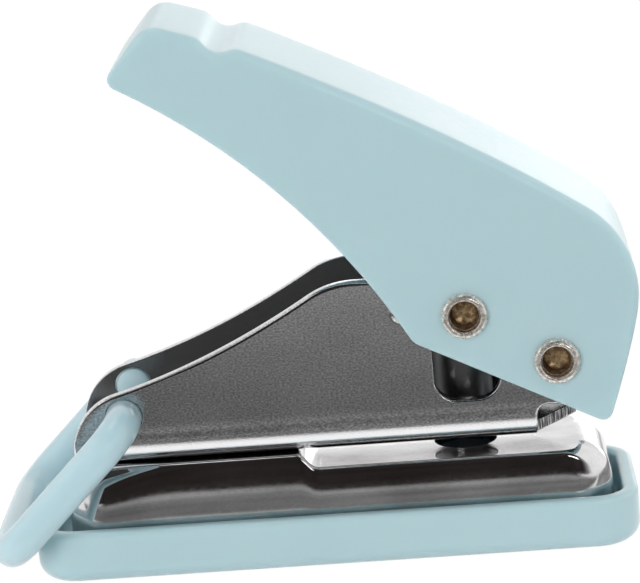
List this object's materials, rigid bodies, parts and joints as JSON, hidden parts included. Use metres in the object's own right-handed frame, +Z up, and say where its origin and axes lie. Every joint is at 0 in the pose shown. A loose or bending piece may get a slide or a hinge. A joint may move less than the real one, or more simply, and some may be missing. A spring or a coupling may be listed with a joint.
{
  "type": "single hole punch",
  "caption": "Small hand-held single hole punch: bright steel frame on a base plate, moulded lever on rivets, pull-off chip tray and a swinging plastic ring that locks the lever down.",
  "frame": {"origin": "centre of the chip tray's flat underside", "axes": "+X along the tray towards the lever's pivot, +Y across the punch, +Z up from the table"},
  "size_m": [0.0631, 0.0254, 0.0534],
  "materials": {
    "pale_blue_plastic": "moulded, soft gloss",
    "ring_plastic": "moulded, slightly translucent",
    "plated_steel": "bright plated sheet",
    "rivet_nickel": "nickel plated, warm",
    "punch_steel": "ground steel",
    "spring_steel": "drawn wire"
  },
  "bodies": {
    "tray": {"chip_tray": "pale_blue_plastic"},
    "chassis": {"base_plate": "plated_steel", "upper_frame": "plated_steel", "front_frame_rivet": "rivet_nickel", "rear_frame_rivet": "rivet_nickel", "return_spring": "spring_steel"},
    "lever": {"lever": "pale_blue_plastic", "pivot_rivet": "rivet_nickel", "drive_rivet": "rivet_nickel"},
    "punch": {"punch": "punch_steel"},
    "ring": {"lock_ring": "ring_plastic"}
  },
  "joints": [
    {"name": "tray_release", "type": "slide", "parent": "tray", "child": "chassis", "axis": [0, 0, 1], "range_m": [0, 0.015]},
    {"name": "lever_press", "type": "hinge", "parent": "chassis", "child": "lever", "pos_m": [0.0221, 0, 0.0191], "axis": [0, -1, 0], "range_deg": [0, 34], "stiffness_Nm_per_rad": 0.15, "springref_deg": -34.38, "deforming": ["return_spring"]},
    {"name": "punch_slide", "type": "slide", "parent": "chassis", "child": "punch", "axis": [0, 0, -1], "range_m": [0, 0.0055]},
    {"name": "ring_swing", "type": "hinge", "parent": "chassis", "child": "ring", "pos_m": [-0.0195, 0, 0.01575], "axis": [0, 1, 0], "range_deg": [0, 132.8]}
  ],
  "couplings": [
    {"joint": "punch_slide", "follows": "lever_press", "m_per_rad": 0.00924}
  ]
}
